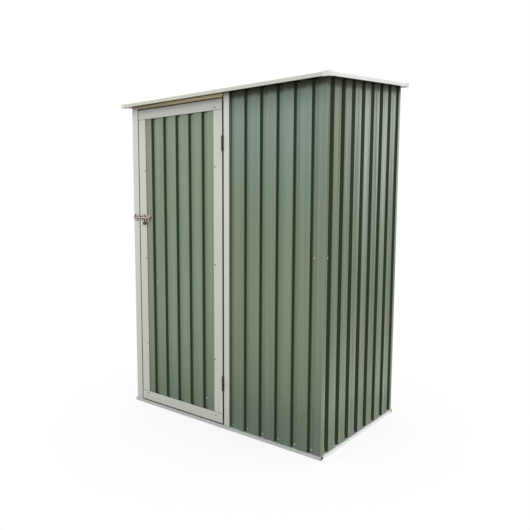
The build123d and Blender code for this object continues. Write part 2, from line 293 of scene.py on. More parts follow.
class ShedPaint(bpy.types.PropertyGroup):
    """Colours of the paint and the bare metals, some of them painted light and shade, and how far the painted
    shade, painted light and dirt reach.
    """

    # Painted reflection and light: the greens change up each sheet as painted reflection of sky and ground,
    # and the door's and other walls' greens are copies of the front's, lighter or darker for the light that
    # falls on them
    front_upper: colour("Upper front green", "Front and roof sheets near the eaves", 129, 146, 132)
    front_middle: colour("Middle front green", "Front and roof sheets at mid height", 130, 140, 116)
    front_lower: colour("Lower front green", "Front and roof sheets near the ground", 107, 121, 102)
    door_upper: colour("Upper door green", "Door panel near the top", 138, 151, 129)
    door_middle: colour("Middle door green", "Door panel at mid height", 135, 148, 126)
    door_lower: colour("Lower door green", "Door panel near the ground", 117, 131, 111)
    side_upper: colour("Upper side green", "Other walls near the eaves", 128, 139, 123)
    side_middle: colour("Middle side green", "Other walls at mid height", 123, 133, 112)
    side_lower: colour("Lower side green", "Other walls near the ground", 150, 162, 140)
    green_foot: colour("Foot tint", "Dull tinge at the foot of the sheets", 106, 118, 104)
    green_warm: colour("Warm tint", "Brown patches in the green", 139, 131, 108)
    green_cool: colour("Cool tint", "Blue-green patches in the green", 116, 146, 132)
    # Painted sheen: pale streaks high on the side walls that stand in for the sky's glint
    painted_sheen: colour("Chalk", "Pale weathered streaks high on the side walls", 196, 206, 196)
    # Painted shade: a deep green that darkens the ribs' webs and the groove floors beside them
    rib_shade: colour("Rib shade", "Deep green in the corners and webs of the ribs", 46, 62, 39)
    # Painted shade right under the roof, where the eaves shade the walls
    eave_shade: colour("Eave shade", "Grime on the walls right under the roof", 55, 55, 37)
    backing: colour("Backing coat", "Thin grey coat on the inner face of the walls", 168, 171, 163)
    # Painted shade: a dark coat on the roof's underside, which stands in for its shade
    roof_underside_shade: colour("Roof backing", "Dark coat on the underside of the roof", 48, 51, 40)
    frame_upper: colour("Upper frame cream", "Door frame near the top", 214, 213, 204)
    frame_lower: colour("Lower frame cream", "Door frame near the ground", 203, 205, 191)
    post_upper: colour("Upper post cream", "Door posts near the top", 220, 220, 209)
    post_lower: colour("Lower post cream", "Door posts near the ground", 203, 205, 193)
    # Painted shade on the returns beside the door and under the eave, and the dirt in the cream pieces'
    # joints
    cream_shade_and_dirt: colour("Cream edge", "Grimy returns and joints of the cream pieces", 62, 58, 46)
    # Painted shade on the undersides of the roof's trim and caps
    underside: colour("Underside", "Grimy undersides of the roof's trim and caps", 40, 38, 30)
    # Painted light: the header's cream, tinted tan for the warm light it takes in the eave's shade
    header: colour("Header", "Header over the door, under the eave", 224, 203, 162)
    trim: colour("Roof trim", "Channels along the roof's front and back", 209, 208, 195)
    # Painted light: a whiter copy of the trim's cream for the brighter light on the roof's sides
    side_trim_painted_light: colour("Side trim", "Channels up the roof's sides", 236, 236, 231)
    cap: colour("Corner cap", "Moulded caps on the roof's corners", 226, 226, 220)
    zinc_light: colour("Light zinc", "Bright crystals of the galvanised steel", 224, 226, 225)
    zinc_dark: colour("Dark zinc", "Dull crystals of the galvanised steel", 190, 193, 192)
    # Painted light: a lighter copy of the galvanised zinc for the base's back and side rails
    lit_zinc_light: colour("Light white zinc", "Bright crystals of the base's other rails", 252, 252, 250)
    lit_zinc_dark: colour("Dark white zinc", "Dull crystals of the base's other rails", 232, 234, 232)
    hinge: colour("Hinge steel", "Dark steel of the hinges", 70, 67, 62)
    latch: colour("Latch plating", "Beige zinc plating of the bolt", 196, 183, 172)
    # Brown in the plating's hollows, also used for painted shade on the latch's flanks
    latch_tarnish_and_shade: colour("Latch tarnish", "Dark brown in the plating's hollows", 42, 32, 25)
    screw: colour("Screw", "Zinc-plated screw heads", 222, 224, 218)
    # Painted shade: dark screw heads and washers under the eaves
    eave_screw_shade: colour("Eave screw", "Dusty screw heads under the eaves", 96, 103, 90)
    stile_screw: colour("Door screw", "Dull screw heads in the door frame", 112, 108, 100)
    washer: colour("Washer", "Grey sealing washers under the screws", 146, 150, 142)
    seam: length("Seam", "Half width of the dirt in the door frame's butt joints", 0.0014)
    # The header's right end has a darker strip, and its left end has painted shade
    header_seam: length("Header seam", "Width of the dirt at the header's right end", 0.012)
    header_shade: length("Header shade", "Width of the shade at the header's left end", 0.35)
    # Reaches of the painted shade under the eave on the posts and on the door frame
    post_gloom: length("Post gloom", "Reach of the grime on the posts", 0.018)
    frame_gloom: length("Frame gloom", "Reach of the grime on the door frame", 0.05)
    # Painted shade along the door panel's edges, beside the latch stile and under the top rail
    panel_edge_shade: length("Panel grime", "Reach of the dirt along the edges of the door panel", 0.009)
    corner_light: length("Corner light", "Reach of the light beside the hinge post", 0.05)
    # Reaches of the painted shade under the front eave and under the other eaves
    front_gloom: length("Front gloom", "Reach of the grime under the front eave", 0.042)
    side_gloom: length("Side gloom", "Reach of the grime under the other eaves", 0.047)


class ShedFixings(bpy.types.PropertyGroup):
    """Sizes of the fixings and of what they hold."""

    sheet: length("Sheet", "Thickness of the ribbed sheets", 0.001)
    head_radius: length("Head radius", "Radius of a screw's head", 0.0042)
    head_height: length("Head height", "Height of a screw's head", 0.0024)
    washer_radius: length("Washer radius", "Radius of a sealing washer", 0.0068)
    washer_height: length("Washer height", "Thickness of a sealing washer", 0.0012)
    rivet_radius: length("Rivet radius", "Radius of the latch's and hinges' fixings", 0.0026)
    rivet_height: length("Rivet height", "Height of the latch's and hinges' fixings", 0.0011)
    edge_inset: length("Edge inset", "From a door frame's inner edge to its screws", 0.009)
    top_drop: length("Top drop", "From the roof's underside down to the top screws", 0.011)
    post_screw: length("Post screw", "Height of the screw in the hinge post", 0.822)
    panel_screw: length("Panel screw", "Height of the low screw in the door panel", 0.138)
    trim_spacing: length("Trim spacing", "Most between two screws along the roof trim", 0.36)
    seed: IntProperty(name="Seed", description="Seed for the turn of the screws' recesses", default=7)


class ShedStudio(bpy.types.PropertyGroup):
    """Floor, lamps and the camera of the photograph."""

    floor_side: length("Floor side", "Side of the square floor", 40.0)
    floor_fade: length("Fade start", "Distance at which the floor starts to fade", 0.3)
    floor_white: length("White radius", "Distance at which the floor has faded to white", 1.6)
    footprint_edge: length("Footprint edge", "Where the bright floor stops under the walls", 0.01)
    floor: colour("Floor", "Pale floor", 248, 248, 247)
    floor_bounce: colour("Floor bounce", "What the floor throws back on the shed", 200, 202, 196)
    sky: colour("Sky", "Soft light from all round", 250, 252, 255)
    sky_strength: FloatProperty(name="Sky strength", description="Level of the soft light", default=1.05)
    lamp_side: length("Lamp side", "Side of the large square lamps", 3.0)
    key_watts: power("Key", "Power of the lamp at the right", 20.0)
    key_place: stand("Key place", "Where the lamp at the right stands", (4.4, -1.6, 3.4))
    fill_watts: power("Fill", "Power of the lamp before the door", 9.0)
    fill_place: stand("Fill place", "Where the lamp before the door stands", (-1.8, -3.4, 1.2))
    camera_place: stand("Camera place", "Where the camera stands", (1.9782, -2.5388, 1.2152))
    camera_heading: angle("Heading", "Turn from +Y towards -X", 37.388)
    camera_tilt: angle("Tilt", "Downward tilt", 6.205)
    camera_roll: angle("Roll", "Turn about the view's axis", 0.352)
    lens: FloatProperty(name="Lens", description="The camera's focal length", default=37.15, unit="CAMERA")


class ShedSettings(bpy.types.PropertyGroup):
    """Everything that a user would change."""

    paint: PointerProperty(type=ShedPaint)
    fixings: PointerProperty(type=ShedFixings)
    studio: PointerProperty(type=ShedStudio)


def shed_settings(context):
    """The shed's settings in this scene."""
    return context.scene.tool_shed


class Wire:
    """An output socket that takes part in maths."""

    def __init__(self, graph, socket):
        self.graph = graph
        self.socket = socket

    def maths(self, operation, *values):
        """A Math node on some values."""
        return self.graph.node("ShaderNodeMath", "Value", dict(enumerate(values)), operation=operation)

    def __add__(self, other):
        return self.maths("ADD", self, other)

    def __sub__(self, other):
        return self.maths("SUBTRACT", self, other)

    def __rsub__(self, other):
        return self.maths("SUBTRACT", other, self)

    def __mul__(self, other):
        return self.maths("MULTIPLY", self, other)

    __radd__ = __add__
    __rmul__ = __mul__

    def __abs__(self):
        return self.maths("ABSOLUTE", self)

    def joined(self, other):
        """Share that this mask and another cover between them."""
        return self + other - self * other

    def swing(self, reach):
        """A value from 0 to 1 made to swing about 0, by half the reach either way."""
        return (self - 0.5) * reach

    def wrapped(self, pitch):
        """How far this lies from the nearest whole number of pitches, either way."""
        return self.maths("WRAP", self, pitch / 2, -pitch / 2)

    def ramp(self, low, high):
        """0 below low, 1 above high and a smooth rise between them."""
        sockets = {"Value": self, "From Min": low, "From Max": high}
        return self.graph.node("ShaderNodeMapRange", "Result", sockets, interpolation_type="SMOOTHSTEP")


class Graph:
    """A node tree of any kind, with one method that adds any node."""

    def __init__(self, tree):
        self.tree = tree
        self.tree.nodes.clear()

    def node(self, kind, output, sockets=None, **settings):
        """Add a node, set it, fill or link its sockets, and give back the output that is named, if any."""
        node = self.tree.nodes.new(kind)
        for key, value in settings.items():
            setattr(node, key, value)
        for key, value in (sockets or {}).items():
            socket = node.inputs[key] if isinstance(key, int) else self.live(node.inputs, key)
            for item in value if isinstance(value, list) else [value]:
                if isinstance(item, Wire):
                    self.tree.links.new(item.socket, socket)
                else:
                    socket.default_value = item
        return Wire(self, self.live(node.outputs, output)) if output else None

    @staticmethod
    def live(sockets, name):
        """The socket of that name that the node's settings leave in use."""
        return next(socket for socket in sockets if socket.name == name and socket.enabled)

    def input(self, name, kind):
        """Named input of a group, given back as the socket that carries it into the tree."""
        self.tree.interface.new_socket(name=name, in_out="INPUT", socket_type="NodeSocket" + kind)
        return self.node("NodeGroupInput", name)

    def place(self):
        """The piece's own coordinates."""
        return self.node("ShaderNodeTexCoord", "Object")

    def height(self):
        """Height above the ground."""
        return self.dot(self.place(), UP)

    def dot(self, vector, direction):
        """How far a vector reaches along a fixed direction."""
        return self.node("ShaderNodeVectorMath", "Value", {0: vector, 1: direction}, operation="DOT_PRODUCT")

    def facing(self, direction):
        """How squarely the surface faces a fixed direction, from -1 to 1."""
        return self.dot(self.node("ShaderNodeTexCoord", "Normal"), direction)

    def stretched(self, vector, factors):
        """A vector times fixed factors along its axes."""
        return self.node("ShaderNodeVectorMath", "Vector", {0: vector, 1: factors}, operation="MULTIPLY")

    def shaded(self, tone, level):
        """A colour made lighter or darker by a level about 1."""
        vector = tone if isinstance(tone, Wire) else tone[:3]
        return self.node("ShaderNodeVectorMath", "Vector", {0: vector, "Scale": level}, operation="SCALE")

    def mix(self, share, first, second):
        """The second colour over the first by a share."""
        sockets = {"Factor": share, "A": first, "B": second}
        return self.node("ShaderNodeMix", "Result", sockets, data_type="RGBA")

    def noise(self, waves, detail=2.0):
        """Noise from 0 to 1, with so many waves to the metre along each axis."""
        sockets = {"Vector": self.stretched(self.place(), waves), "Scale": 1.0, "Detail": detail}
        return self.node("ShaderNodeTexNoise", "Fac", sockets)

    def bump(self, height, depth, normal=None):
        """Normal of a relief that is so deep, over another normal if there is one."""
        sockets = {"Height": height, "Distance": depth, "Strength": 1.0}
        if normal:
            sockets["Normal"] = normal
        return self.node("ShaderNodeBump", "Normal", sockets)

    def finish(self, sockets):
        """End a material in one surface shader."""
        surface = self.node("ShaderNodeBsdfPrincipled", "BSDF", sockets)
        self.node("ShaderNodeOutputMaterial", None, {"Surface": surface})


def material(name):
    """A new material's graph, and the material."""
    made = bpy.data.materials.new(name)
    made.use_nodes = True
    return Graph(made.node_tree), made


def linear(tone):
    """Scene-linear colour of an sRGB one."""
    return (*Color(tone).from_srgb_to_scene_linear(), 1.0)


def dress(nodes, finish):
    """Give nodes of the frame a finish in place of the one that they came with."""
    for name in nodes:
        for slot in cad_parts[name].material_slots:
            slot.material = finish


def rib_relief(node, thickness):
    """Outer face of a ribbed sheet along its outward direction, and the depth of its ribs."""
    reach = [corner.dot(SHEETS[node].outward) for corner in corners(node)]
    return max(reach), max(reach) - min(reach) - thickness


def groove_floors(node, thickness):
    """Where each groove's floor starts and ends along a ribbed sheet, from its own mesh."""
    sheet = SHEETS[node]
    face, rib = rib_relief(node, thickness)
    deep = [corner for corner in corners(node) if corner.dot(sheet.outward) < face - FLOOR_DEPTH_SHARE * rib]
    reach = sorted(corner.dot(sheet.along) for corner in deep)
    floors = []
    start = reach[0]
    for here, following in zip(reach, reach[1:] + [math.inf]):
        if following - here > FLOOR_GAP_RIBS * rib:
            floors.append((start, here))
            start = following
    return floors


def groove_middles(node, thickness):
    """Middles of a ribbed sheet's grooves along the sheet."""
    return [(start + end) / 2 for start, end in groove_floors(node, thickness)]


def groove_widths(node, thickness):
    """Half the width of a groove's floor, and half the width of its mouth."""
    sheet = SHEETS[node]
    face, rib = rib_relief(node, thickness)
    start, end = groove_floors(node, thickness)[0]
    raised = [corner for corner in corners(node) if corner.dot(sheet.outward) > face - FACE_DEPTH_SHARE * rib]
    return (end - start) / 2, min(abs(corner.dot(sheet.along) - (start + end) / 2) for corner in raised)


def rib_painted_shade(graph, node, thickness, floor_shares):
    """Mask of the painted shade: 1 on the webs of the ribs, and on the groove floors past some shares of
    their half width.
    """
    first, second = groove_middles(node, thickness)[:2]
    floor, mouth = groove_widths(node, thickness)
    offset = (graph.dot(graph.place(), SHEETS[node].along) - first).wrapped(second - first)
    clear, deep = floor_shares
    web = abs(offset).ramp(WEB_START_SHARE * floor, floor)
    shade = offset.ramp(clear * floor, deep * floor)
    return web.joined(shade) * (1 - abs(offset).ramp(WEB_END_SHARE * mouth, mouth))


def eave_painted_shade(graph, reach, runs=0.0):
    """Painted shade that fades down from the underside of the roof, and lies lower where its streaky runs
    reach.
    """
    underside = min(corner.dot(ROOF) for corner in corners("roof_sheet_right"))
    drop = underside - graph.dot(graph.place(), ROOF) - runs
    return sum(share * (1 - drop.ramp(start * reach, end * reach)) for share, start, end in EAVE_SHADE_LAYERS)


class Edge(NamedTuple):
    """A straight edge on a sheet: the way in from it, its place that way, its reach and its strength."""

    inward: Vector
    place: float
    reach: float
    share: float

    def near(self, graph):
        """The strength at the edge, fading to nothing at its reach."""
        away = graph.dot(graph.place(), self.inward) - self.place
        return (1 - away.ramp(EDGE_FULL_SHARE * self.reach, self.reach)) * self.share

    def across(self, graph):
        """The strength on a thin line along the edge, to both sides of it."""
        away = abs(graph.dot(graph.place(), self.inward) - self.place)
        return (1 - away.ramp(SEAM_FULL_SHARE * self.reach, self.reach)) * self.share


class SheetLook(NamedTuple):
    """How a ribbed sheet is finished: its greens from the ground up, and the shares of its marks."""

    greens: tuple
    backing: tuple
    floor_shares: tuple
    streaking: float
    glint: float
    painted_sheen: float = 0.0
    eave_reach: float = 0.0
    darkened_edges: tuple = ()
    lit_edges: tuple = ()


def sheet_green_with_painted_light(graph, paint, look, cloud, band):
    """A sheet's green: painted reflection changes it up the wall, with tinted patches, a dull foot and
    streaks of painted sheen.
    """
    lower, mid, upper = (linear(green) for green in look.greens)
    height = graph.height()
    # Painted reflection: the green changes with height
    level = height + cloud.swing(GREEN_DRIFT)
    green = graph.mix(level.ramp(*LOWER_GREEN_RISE), lower, mid)
    green = graph.mix(level.ramp(*UPPER_GREEN_RISE), green, upper)
    warm = graph.noise(WARM_WAVES).ramp(*TINT_PATCH)
    warm = warm * (WARM_SHARE + look.streaking * WARM_STREAK_SHARE)
    cool = graph.noise(COOL_WAVES).ramp(*TINT_PATCH)
    green = graph.mix(warm, green, linear(paint.green_warm))
    green = graph.mix(cool * COOL_SHARE, green, linear(paint.green_cool))
    foot = 1 - (height - cloud * GREEN_FOOT_DRIFT).ramp(*GREEN_FOOT_RISE)
    green = graph.mix(foot * GREEN_FOOT_SHARE, green, linear(paint.green_foot))
    # Painted sheen high on the side walls, and a warm tint near the front
    if look.painted_sheen:
        away = (graph.dot(graph.place(), BACK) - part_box("front_wall")[0].y).ramp(*SHEEN_DISTANCE)
        high = height.ramp(*SHEEN_RISE)
        green = graph.mix(high * (1 - away) * CORNER_WARM_SHARE, green, linear(paint.green_warm))
        green = graph.mix(band.ramp(*SHEEN_PATCH) * high * away * look.painted_sheen, green, linear(paint.painted_sheen))
    return green


def ribbed_paint(node, paint, thickness, look):
    """Satin green sheet: painted shade in the grooves and under the eave, painted reflection and sheen,
    streaks, tinted patches, a coat inside.
    """
    graph, made = material(node + "_paint")
    hollow_shade = rib_painted_shade(graph, node, thickness, look.floor_shares)
    # Painted light: less painted shade in the grooves near a lit edge, such as beside the hinge post
    for edge in look.lit_edges:
        hollow_shade = hollow_shade * (1 - edge.near(graph))
    inside = 1 - graph.facing(SHEETS[node].outward).ramp(*OUTER_FACING)
    cloud = graph.noise(CLOUD_WAVES, detail=3.0)
    streak = graph.noise(STREAK_WAVES, detail=3.0)
    band = graph.noise(BAND_WAVES)
    grain = graph.noise(GRAIN_WAVES)
    level = 1 + (streak.swing(STREAK_SWING) + band.swing(look.streaking) + grain.swing(GRAIN_SWING))
    green = graph.shaded(sheet_green_with_painted_light(graph, paint, look, cloud, band), level)
    # Painted shade on the ribs' webs and groove floors
    tone = graph.mix(hollow_shade * RIB_SHADE_SHARE, green, linear(paint.rib_shade))
    # Painted shade along the darkened edges
    for edge in look.darkened_edges:
        tone = graph.mix(edge.near(graph), tone, linear(paint.rib_shade))
    glint = (graph.height() + band.swing(look.streaking)).ramp(*GLINT_RISE) * look.glint
    # Painted shade under the eave, which also takes the glint away there
    if look.eave_reach:
        gloom = eave_painted_shade(graph, look.eave_reach, streak.swing(look.eave_reach * EAVE_SHADE_STREAK_SHARE))
        tone = graph.mix(gloom, tone, linear(paint.eave_shade))
        glint = glint * (1 - gloom)
    dents = graph.bump(graph.noise(DENT_WAVES), DENT_DEPTH)
    graph.finish({
        "Base Color": graph.mix(inside, tone, linear(look.backing)),
        "Roughness": 0.4 + cloud * 0.16 + inside * 0.15,
        "Coat Weight": glint * (1 - hollow_shade) * (1 - inside),
        "Coat Roughness": 0.2,
        "Coat IOR": 1.75,
        "Normal": graph.bump(grain, GRAIN_DEPTH, dents),
        "Specular IOR Level": 0.12,
    })
    return made


def turned_shade(graph, tone, direction, dirt_and_shade):
    """Painted shade over a tone where the surface is turned to a direction."""
    turned = graph.facing(direction).ramp(*SQUARE_FACING)
    return graph.mix(turned * TURNED_SHADE_SHARE, tone, linear(dirt_and_shade))


def cream_paint(name, upper, lower, dirt_and_shade, hidden=(), seams=(), darkened_edges=(), gloss=0.0, gloom=0.0):
    """Cream paint on folded steel: mottling, dust, a dull foot, painted shade on the returns and under the
    eave, dark seams and darkened edges.
    """
    graph, made = material(name)
    height = graph.height()
    mottle = graph.noise(MOTTLE_WAVES, detail=4.0)
    dust = graph.noise(DUST_WAVES).ramp(*DUST_PATCH)
    foot = (1 - height.ramp(*CREAM_FOOT_RISE)) * mottle
    level = CREAM_LEVEL + mottle.swing(MOTTLE_SWING) - dust * DUST_SHADE - foot * CREAM_FOOT_SHADE
    tone = graph.shaded(graph.mix(height.ramp(*CREAM_RISE), linear(lower), linear(upper)), level)
    for seam in seams:
        tone = graph.mix(seam.across(graph), tone, linear(dirt_and_shade))
    for edge in darkened_edges:
        tone = graph.mix(edge.near(graph), tone, linear(dirt_and_shade))
    # Painted shade under the eave
    if gloom:
        tone = graph.mix(eave_painted_shade(graph, gloom) * CREAM_EAVE_SHADE_SHARE, tone, linear(dirt_and_shade))
    # Painted shade on the faces turned to the hidden directions, such as the returns in the door's gaps
    for direction in hidden:
        tone = turned_shade(graph, tone, direction, dirt_and_shade)
    graph.finish({
        "Base Color": tone,
        "Roughness": 0.38 + mottle * 0.14,
        "Normal": graph.bump(graph.noise(PEEL_WAVES), PEEL_DEPTH),
        "Specular IOR Level": 0.4,
        "Coat Weight": gloss,
        "Coat Roughness": 0.15,
    })
    return made


def cap_plastic(tone, dirt_and_shade):
    """Moulded plastic with a fine spark-eroded grain and painted shade on its underside."""
    graph, made = material("cap_plastic")
    grain = graph.noise(CAP_GRAIN_WAVES)
    level = 1 + graph.noise(CAP_SHADE_WAVES, detail=3.0).swing(CAP_SHADE_SWING)
    graph.finish({
        "Base Color": turned_shade(graph, graph.shaded(linear(tone), level), -ROOF, dirt_and_shade),
        "Roughness": 0.5 + grain * 0.1,
        "Normal": graph.bump(grain, CAP_GRAIN_DEPTH),
        "Coat Weight": 1.0,
        "Coat Roughness": 0.2,
    })
    return made


def galvanised_steel(name, light, dark, face_shade=0.0):
    """Zinc coat with flat crystals of differing brightness and white bloom, with painted shade on faces
    turned to the front and back.
    """
    graph, made = material(name)
    sockets = {"Vector": graph.place(), "Scale": CRYSTAL_WAVES, "Randomness": 1.0}
    crystal = graph.node("ShaderNodeTexVoronoi", "Color", sockets)
    cell = graph.node("ShaderNodeSeparateColor", "Red", {"Color": crystal})
    bloom = graph.noise(BLOOM_WAVES, detail=5.0).ramp(*BLOOM_PATCH)
    tone = graph.mix(cell * CRYSTAL_SHARE + bloom * (1 - CRYSTAL_SHARE), linear(dark), linear(light))
    # Painted shade on the faces turned to the front and back
    if face_shade:
        tone = graph.shaded(tone, 1 - abs(graph.facing(FRONT)).ramp(*SQUARE_FACING) * face_shade)
    graph.finish({
        "Base Color": tone,
        "Metallic": 0.6 - bloom * 0.4,
        "Roughness": 0.36 + cell * 0.12 + bloom * 0.2,
        "Normal": graph.bump(cell, CRYSTAL_DEPTH),
    })
    return made


def plated_metal(name, bright, dull, dull_share, roughness, flank_shade=0.0, dark_below=0.0):
    """Plated steel that has gone dull in patches, with painted shade on its flanks, and darker below a
    height.
    """
    graph, made = material(name)
    scratch = graph.noise(SCRATCH_WAVES)
    patch = graph.noise(TARNISH_WAVES, detail=3.0)
    tarnish_and_shade = patch.ramp(TARNISH_START - dull_share * TARNISH_SPREAD, TARNISH_FULL)
    # Painted shade on the flanks
    if flank_shade:
        side = (1 - abs(graph.facing(FRONT)).ramp(*FLANK_FACING)) * flank_shade
        tarnish_and_shade = tarnish_and_shade.joined(side)
    if dark_below:
        above = graph.height().ramp(dark_below - HANDLE_FADE, dark_below)
        darkened = HANDLE_DARKNESS + tarnish_and_shade * (1 - HANDLE_DARKNESS)
        tarnish_and_shade = tarnish_and_shade * above + (1 - above) * darkened
    graph.finish({
        "Base Color": graph.mix(tarnish_and_shade, linear(bright), linear(dull)),
        "Metallic": 0.8 - tarnish_and_shade * 0.5,
        "Roughness": roughness + tarnish_and_shade * 0.2 + scratch * 0.08,
        "Normal": graph.bump(scratch, SCRATCH_DEPTH),
        "Specular IOR Level": 0.15,
    })
    return made


def washer_rubber(name, tone):
    """Weathered rubber."""
    graph, made = material(name)
    bloom = graph.noise(RUBBER_WAVES, detail=3.0)
    graph.finish({
        "Base Color": graph.shaded(linear(tone), 1 + bloom.swing(RUBBER_SWING)),
        "Roughness": 0.6 + bloom * 0.2,
        "Normal": graph.bump(bloom, RUBBER_DEPTH),
    })
    return made


def block(graph, size, rise):
    """Block of a size whose middle is raised."""
    cube = graph.node("GeometryNodeMeshCube", "Mesh", {"Size": size})
    return graph.node("GeometryNodeTransform", "Geometry", {"Geometry": cube, "Translation": UP * rise})


def screw_head(graph):
    """Dome with a cross recess."""
    sockets = {"Segments": HEAD_SEGMENTS, "Rings": HEAD_RINGS, "Radius": 1.0}
    ball = graph.node("GeometryNodeMeshUVSphere", "Mesh", sockets)
    ball = graph.node("GeometryNodeSetShadeSmooth", "Geometry", {"Geometry": ball})
    upper_half = block(graph, UPPER_HALF_SIZE, UPPER_HALF_SIZE[2] / 2)
    both = {1: [ball, upper_half]}
    dome = graph.node("GeometryNodeMeshBoolean", "Mesh", both, operation="INTERSECT", solver="EXACT")
    cut = {"Mesh 1": dome, "Mesh 2": [block(graph, size, RECESS_RISE) for size in RECESS_SIZES]}
    return graph.node("GeometryNodeMeshBoolean", "Mesh", cut, operation="DIFFERENCE", solver="EXACT")


def washer_dish(graph):
    """Dished washer."""
    return graph.node(
        "GeometryNodeMeshCone", "Mesh",
        {"Vertices": WASHER_SEGMENTS, "Radius Top": WASHER_TOP_RADIUS, "Radius Bottom": 1.0, "Depth": 1.0},
    )


def fixing_tree(name, shape):
    """Node tree that sets a unit shape on every point, scaled, turned to its facing and rolled at random."""
    graph = Graph(bpy.data.node_groups.new(name, "GeometryNodeTree"))
    points = graph.input("Points", "Geometry")
    radius = graph.input("Radius", "Float")
    height = graph.input("Height", "Float")
    finish = graph.input("Material", "Material")
    seed = graph.input("Seed", "Int")
    scale = graph.node("ShaderNodeCombineXYZ", "Vector", {"X": radius, "Y": radius, "Z": height})
    facing = graph.node(
        "GeometryNodeInputNamedAttribute", "Attribute", {"Name": "facing"}, data_type="FLOAT_VECTOR"
    )
    aligned = graph.node("FunctionNodeAlignRotationToVector", "Rotation", {"Vector": facing}, axis="Z")
    roll = graph.node("FunctionNodeRandomValue", "Value", {"Min": 0.0, "Max": math.tau, "Seed": seed})
    turn = graph.node("ShaderNodeCombineXYZ", "Vector", {"Z": roll})
    about = graph.node("FunctionNodeEulerToRotation", "Rotation", {"Euler": turn})
    both = {"Rotation": aligned, "Rotate By": about}
    rotation = graph.node("FunctionNodeRotateRotation", "Rotation", both, rotation_space="LOCAL")
    placed = graph.node(
        "GeometryNodeInstanceOnPoints", "Instances",
        {"Points": points, "Instance": shape(graph), "Rotation": rotation, "Scale": scale},
    )
    real = graph.node("GeometryNodeRealizeInstances", "Geometry", {"Geometry": placed})
    dressed = graph.node("GeometryNodeSetMaterial", "Geometry", {"Geometry": real, "Material": finish})
    graph.tree.interface.new_socket(name="Geometry", in_out="OUTPUT", socket_type="NodeSocketGeometry")
    graph.node("NodeGroupOutput", None, {"Geometry": dressed})
    return graph.tree


def spread(name, places, tree, values, body):
    """One piece of like fixings: run the node tree on the places, keep its mesh, let it ride."""
    mesh = bpy.data.meshes.new(name)
    mesh.from_pydata([place for place, facing in places], [], [])
    facings = mesh.attributes.new("facing", "FLOAT_VECTOR", "POINT")
    for item, (place, facing) in zip(facings.data, places):
        item.vector = facing
    piece = bpy.data.objects.new(name, mesh)
    bpy.context.scene.collection.objects.link(piece)
    modifier = piece.modifiers.new("Fixings", "NODES")
    modifier.node_group = tree
    for item in tree.interface.items_tree:
        if item.in_out == "INPUT" and item.name in values:
            modifier[item.identifier] = values[item.name]
    evaluated = piece.evaluated_get(bpy.context.evaluated_depsgraph_get())
    made = bpy.data.meshes.new_from_object(evaluated)
    made.name = name
    piece.modifiers.clear()
    piece.data = made
    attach(piece, body)


def eave_height(place):
    """Height of the roof's underside over a place, from the tops of the front and back walls."""
    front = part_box("front_wall")
    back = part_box("back_wall_left")
    share = (place.y - front[0].y) / (back[1].y - front[0].y)
    return front[1].z + share * (back[1].z - front[1].z)


def groove_floor(node, thickness):
    """Way from the frame's origin out to the plane of a sheet's groove floors."""
    face, rib = rib_relief(PLAIN_SHEETS.get(node, node), thickness)
    return SHEETS[node].outward * (face - rib)


def wall_places(fixings):
    """Screws at the base of every groove and by the mid rail in the outer ones; and those under the roof."""
    base = (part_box("front_wall")[0].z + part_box("base_rail_front")[1].z) / 2
    mid = middle("mid_rail_back").z
    places = []
    tops = []
    for node in WALL_NODES:
        sheet = SHEETS[node]
        middles = groove_middles(node, fixings.sheet)
        for reach in middles:
            floor = sheet.along * reach + groove_floor(node, fixings.sheet)
            tops.append((floor + UP * (eave_height(floor) - fixings.top_drop), sheet.outward))
            places.append((floor + UP * base, sheet.outward))
            if reach in (middles[0], middles[-1]):
                places.append((floor + UP * mid, sheet.outward))
    return places, tops


def roof_places(fixings):
    """Screws through the roof's grooves into the front rail, the beam and the back rail."""
    places = []
    for node in ROOF_NODES:
        floor = groove_floor(node, fixings.sheet)
        for reach in groove_middles(node, fixings.sheet):
            for carrier in ("top_rail_front", "roof_beam", "top_rail_back"):
                climb = (middle(carrier).y - floor.y) / UP_SLOPE.y
                places.append((RIGHT * reach + UP_SLOPE * climb + floor, ROOF))
    return places


def trim_places(fixings):
    """Screws along the top lips of the roof trim, evenly spaced."""
    face = max(corner.dot(ROOF) for corner in corners("roof_trim_front"))
    runs = [(node, RIGHT, UP_SLOPE) for node in LONG_TRIM_NODES]
    runs += [(node, UP_SLOPE, RIGHT) for node in SIDE_TRIM_NODES]
    places = []
    for node, along, across in runs:
        reach = [corner.dot(along) for corner in corners(node)]
        lip = [corner.dot(across) for corner in corners(node)]
        count = math.ceil((max(reach) - min(reach)) / fixings.trim_spacing)
        step = (max(reach) - min(reach)) / count
        for index in range(count):
            spot = min(reach) + (index + 0.5) * step
            places.append((along * spot + across * (min(lip) + max(lip)) / 2 + ROOF * face, ROOF))
    return places


def post_places(fixings):
    """The screw in the hinge post's face."""
    post = middle("door_post_hinge")
    return [(Vector((post.x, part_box("door_post_hinge")[0].y, fixings.post_screw)), FRONT)]


def door_frame_places(fixings):
    """Screws near the inner edge of the stiles, at shares of the door's height."""
    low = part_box("door_rail_bottom")[0].z
    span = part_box("door_rail_top")[1].z - low
    latch_side, hinge_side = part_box("door_stile_latch"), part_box("door_stile_hinge")
    columns = (
        (latch_side[1].x - fixings.edge_inset, LATCH_STILE_SCREW_SHARES),
        (hinge_side[0].x + fixings.edge_inset, HINGE_STILE_SCREW_SHARES),
    )
    return [
        (Vector((x, latch_side[0].y, low + span * share)), FRONT) for x, shares in columns for share in shares
    ]


def door_panel_places(fixings):
    """Screws through the door panel's grooves: one into the brace, and one low beside the hinges."""
    sheet = SHEETS["door_panel"]
    middles = groove_middles("door_panel", fixings.sheet)
    floor = groove_floor("door_panel", fixings.sheet)
    spots = ((middles[-1], middle("door_brace").z), (middles[0], fixings.panel_screw))
    return [(sheet.along * reach + floor + UP * z, sheet.outward) for reach, z in spots]


